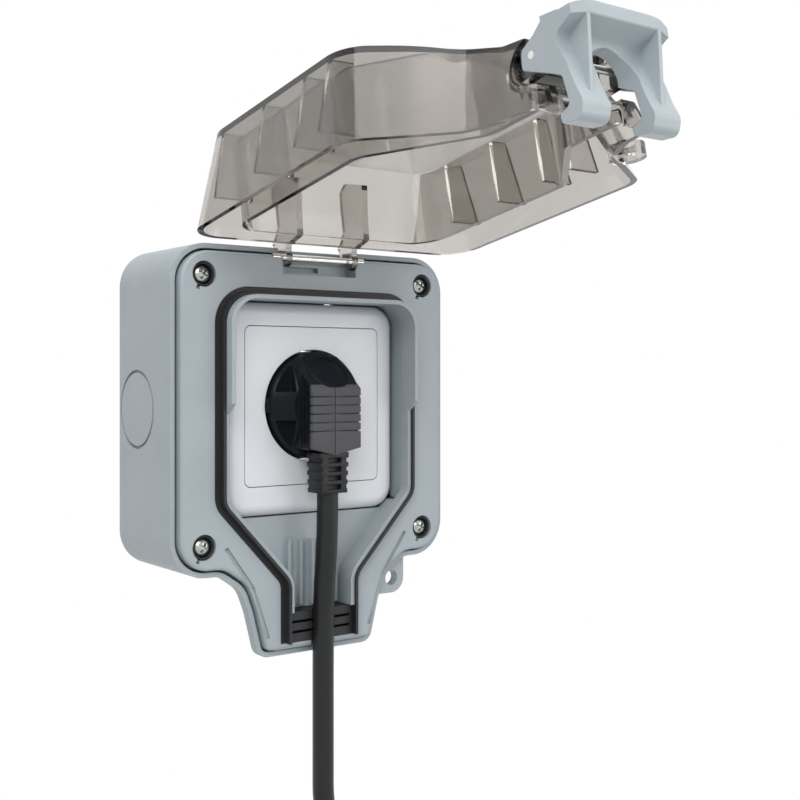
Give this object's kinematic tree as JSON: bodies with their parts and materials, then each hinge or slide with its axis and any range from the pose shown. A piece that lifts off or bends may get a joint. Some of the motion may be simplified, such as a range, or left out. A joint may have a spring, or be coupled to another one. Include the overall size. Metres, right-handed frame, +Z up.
{
  "type": "outdoor weatherproof socket",
  "caption": "Wall-mounted weatherproof socket: grey box and cover, sealed socket with an angled plug and its cord, and an upward-opening smoked clear lid with a latch.",
  "frame": {"origin": "on the box's wall face, at the middle of its four cover screws", "axes": "+X to the right seen from the front, +Z up, the wall is the plane Y = 0 and the socket stands out from it towards -Y"},
  "size_m": [0.1124, 0.1888, 0.3672],
  "materials": {
    "housing": "satin moulded, cool light grey",
    "white_plastic": "smooth white",
    "rubber": "matte black",
    "black_rubber": "satin black",
    "black_plastic": "satin black",
    "smoked_clear": "clear, smoked brown-grey",
    "latch_plastic": "satin moulded, pale blue-grey",
    "zinc": "bright zinc plated",
    "chrome": "bright nickel plated",
    "brass": "plain"
  },
  "bodies": {
    "base": {"back_box": "housing", "front_cover": "housing", "cover_seal": "rubber", "opening_seal": "rubber", "cable_comb": "rubber", "cover_screws": "zinc", "yoke_screws": "zinc", "socket_plate": "white_plastic", "socket_insert": "white_plastic", "mounting_yoke": "zinc", "socket_base": "white_plastic", "line_contact": "brass", "neutral_contact": "brass", "earth_contacts": "chrome", "plug_body": "black_plastic", "plug_pins": "chrome", "plug_earth_strips": "chrome", "plug_strain_relief": "black_rubber", "lead": "black_rubber", "lead_coil": "black_rubber", "coil_tie": "black_plastic", "lead_connector": "black_plastic", "hinge_pin": "zinc"},
    "lid": {"lid": "smoked_clear", "lid_comb": "rubber", "latch_pin": "zinc"},
    "latch": {"latch": "latch_plastic"}
  },
  "joints": [
    {"name": "lid_hinge", "type": "hinge", "parent": "base", "child": "lid", "pos_m": [0, -0.0417, 0.0522], "axis": [1, 0, 0], "range_deg": [-8, 100.3]},
    {"name": "latch_hinge", "type": "hinge", "parent": "lid", "child": "latch", "pos_m": [0, -0.17038, 0.09357], "axis": [1, 0, 0], "range_deg": [-35, 0]}
  ]
}
